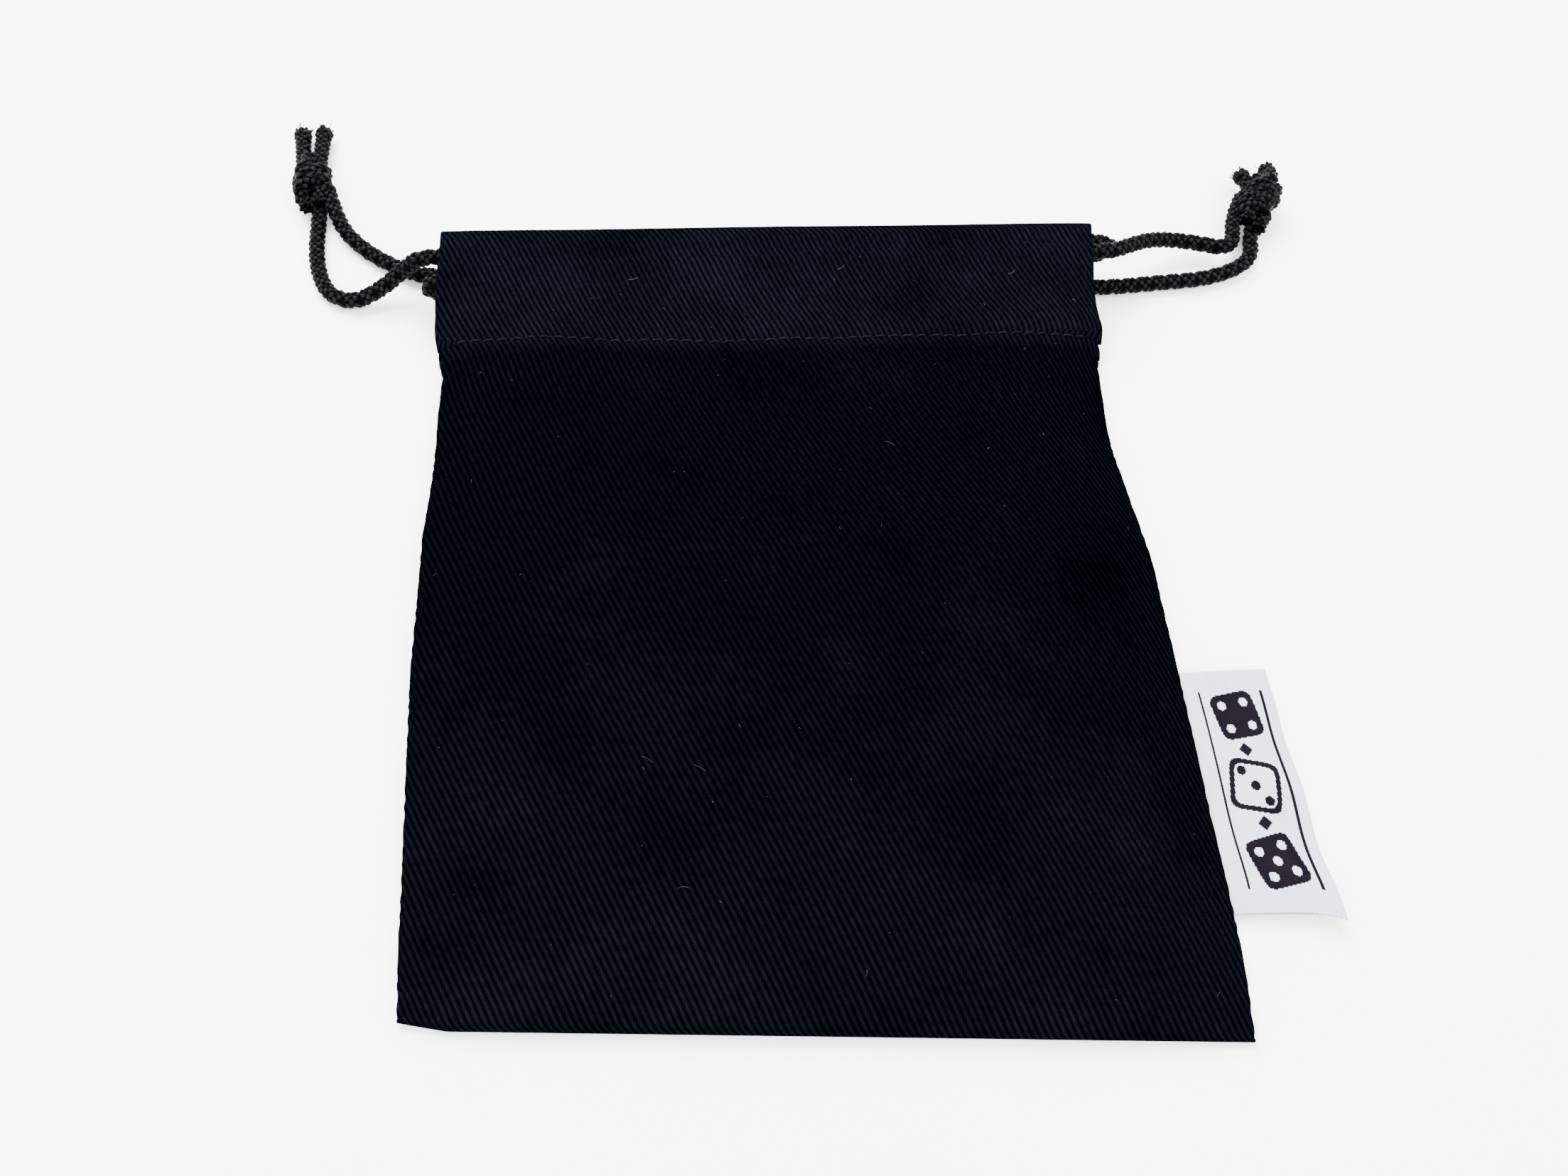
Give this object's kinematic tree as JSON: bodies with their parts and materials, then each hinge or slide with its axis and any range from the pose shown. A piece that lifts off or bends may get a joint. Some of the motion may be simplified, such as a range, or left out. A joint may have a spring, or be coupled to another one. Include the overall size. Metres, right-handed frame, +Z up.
{
  "type": "drawstring bag",
  "caption": "Small dark cotton twill drawstring bag lying flat, two braided cords each knotted at one side, pale woven loop label in the side seam.",
  "frame": {"origin": "centre of the resting face, under the middle of the bag's length and width, on the table", "axes": "+Y from the closed bottom edge toward the mouth, +X toward the seam with the label, +Z up from the table"},
  "size_m": [0.1687, 0.1511, 0.0115],
  "materials": {
    "twill": "matte",
    "thread": "satin",
    "label_tape": "satin",
    "label_motif": "satin",
    "cord": "satin",
    "cord_end": "satin"
  },
  "bodies": {
    "bag": {"front_panel": "twill", "back_panel": "twill", "front_casing": "twill", "back_casing": "twill", "front_casing_stitches": "thread", "back_casing_stitches": "thread", "bottom_seam_allowance": "twill", "bottom_seam_stitches": "thread", "bottom_overlock": "thread"},
    "left_side": {"left_seam_allowance": "twill", "left_seam_stitches": "thread", "left_overlock": "thread"},
    "right_side": {"right_seam_allowance": "twill", "right_seam_stitches": "thread", "right_overlock": "thread"},
    "label": {"woven_label": "label_tape", "label_motif": "label_motif"},
    "left_cord": {"left_drawcord": "cord", "left_knot": "cord", "left_cord_ends": "cord_end"},
    "right_cord": {"right_drawcord": "cord", "right_knot": "cord", "right_cord_ends": "cord_end"}
  },
  "joints": [
    {"name": "left_cord_pull", "type": "slide", "parent": "bag", "child": "left_cord", "axis": [-1, 0, 0], "range_m": [0, 0.022], "deforming": ["front_panel", "back_panel", "front_casing", "back_casing"]},
    {"name": "right_cord_pull", "type": "slide", "parent": "bag", "child": "right_cord", "axis": [1, 0, 0], "range_m": [0, 0.022]},
    {"name": "left_side_draw", "type": "hinge", "parent": "bag", "child": "left_side", "pos_m": [-0.0508, -0.0615, 0.0009], "axis": [0, 0, -1], "range_deg": [0, 10.9]},
    {"name": "right_side_draw", "type": "hinge", "parent": "bag", "child": "right_side", "pos_m": [0.0508, -0.0615, 0.0009], "axis": [0, 0, 1], "range_deg": [0, 10.9]},
    {"name": "label_flap", "type": "hinge", "parent": "right_side", "child": "label", "pos_m": [0.0519, -0.0331, 0.00095], "axis": [0, -1, 0], "range_deg": [0, 95]}
  ],
  "couplings": [
    {"joint": "right_cord_pull", "follows": "left_cord_pull", "ratio": 1},
    {"joint": "left_side_draw", "follows": "left_cord_pull", "rad_per_m": 8.6364},
    {"joint": "right_side_draw", "follows": "left_cord_pull", "rad_per_m": 8.6364}
  ]
}
